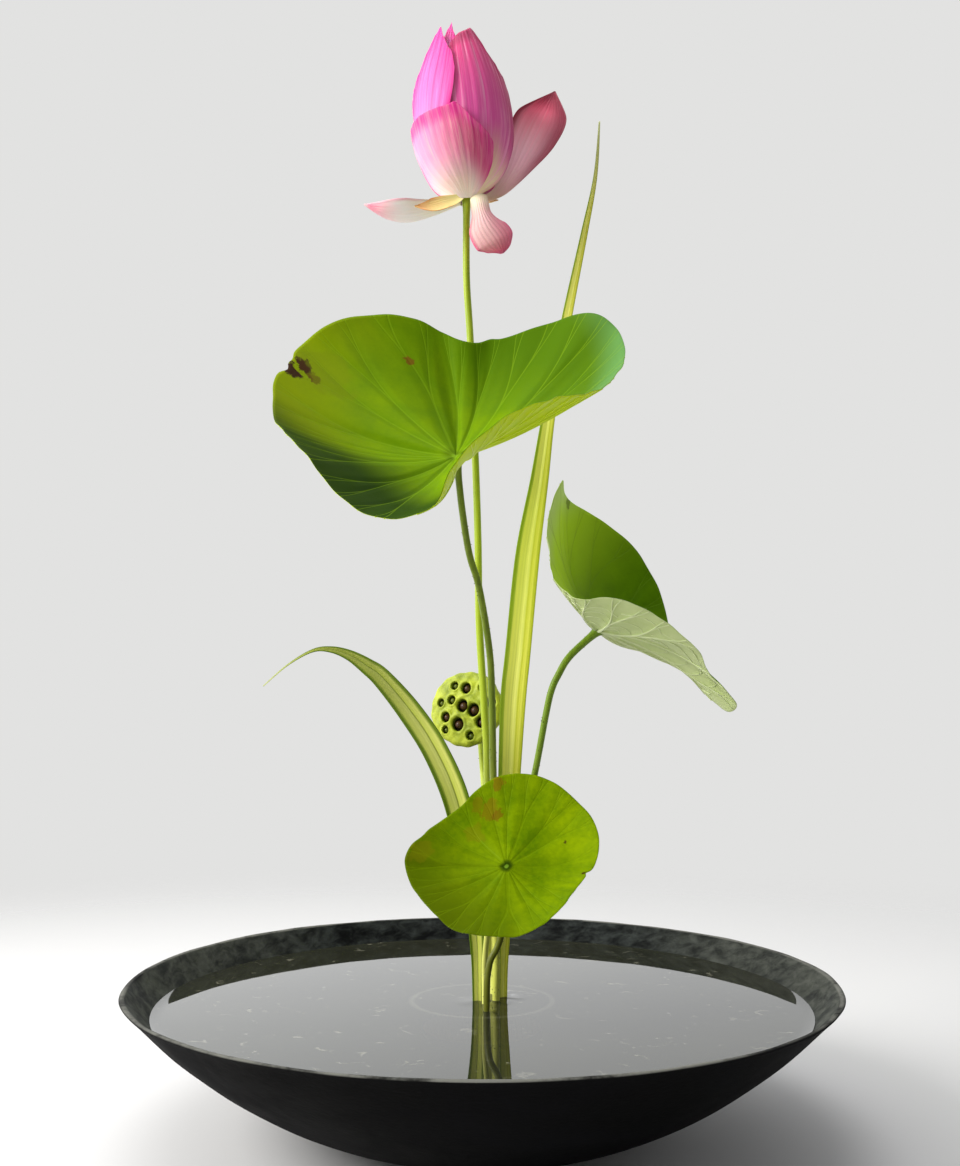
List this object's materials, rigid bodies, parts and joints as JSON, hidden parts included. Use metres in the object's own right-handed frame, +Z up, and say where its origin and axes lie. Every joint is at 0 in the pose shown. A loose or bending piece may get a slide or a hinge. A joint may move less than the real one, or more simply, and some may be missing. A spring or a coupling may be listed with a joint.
{
  "type": "ikebana arrangement",
  "caption": "Lotus flower, round lotus leaves, striped leaves and a seed pod on a pin holder in a shallow black iron bowl of water.",
  "frame": {"origin": "centre of the bowl's flat foot, on the surface that it stands on", "axes": "+Z up, the arrangement's front faces -Y, +X to the viewer's right"},
  "size_m": [0.5, 0.5, 0.834],
  "materials": {
    "black_iron": "matte",
    "water": "gloss",
    "lead": "matte",
    "brass_pins": "satin",
    "green_stem": "satin",
    "lotus_leaf": "satin",
    "striped_leaf": "satin",
    "pink_petal": "satin",
    "white_petal": "satin",
    "tan_petal": "matte",
    "stamen": "matte",
    "pod": "matte",
    "seed": "satin"
  },
  "bodies": {
    "root": {"iron_bowl": "black_iron", "water": "water", "holder_base": "lead", "holder_pins": "brass_pins", "flower_stem": "green_stem", "large_leaf_stalk": "green_stem", "right_leaf_stalk": "green_stem", "small_leaf_stalk": "green_stem", "seed_pod_stem": "green_stem", "tall_striped_leaf": "striped_leaf", "left_striped_leaf": "striped_leaf", "large_leaf": "lotus_leaf", "right_leaf": "lotus_leaf", "small_leaf": "lotus_leaf", "petal_inner_right": "pink_petal", "petal_inner_left": "pink_petal", "petal_inner_back": "pink_petal", "petal_narrow_tip": "pink_petal", "petal_broad_right": "pink_petal", "petal_back_right": "pink_petal", "petal_upper_left": "pink_petal", "petal_back_left": "pink_petal", "petal_front_short": "pink_petal", "petal_back_short": "pink_petal", "petal_open_right": "pink_petal", "petal_spread_left": "white_petal", "petal_drooping": "white_petal", "petal_stub": "white_petal", "petal_withered": "tan_petal", "flower_stamens": "stamen", "seed_pod": "pod", "flower_receptacle": "pod", "lotus_seed_01": "seed", "lotus_seed_02": "seed", "lotus_seed_03": "seed", "lotus_seed_04": "seed", "lotus_seed_05": "seed", "lotus_seed_06": "seed", "lotus_seed_07": "seed", "lotus_seed_08": "seed", "lotus_seed_09": "seed", "lotus_seed_10": "seed", "lotus_seed_11": "seed", "lotus_seed_12": "seed", "lotus_seed_13": "seed"}
  },
  "joints": []
}
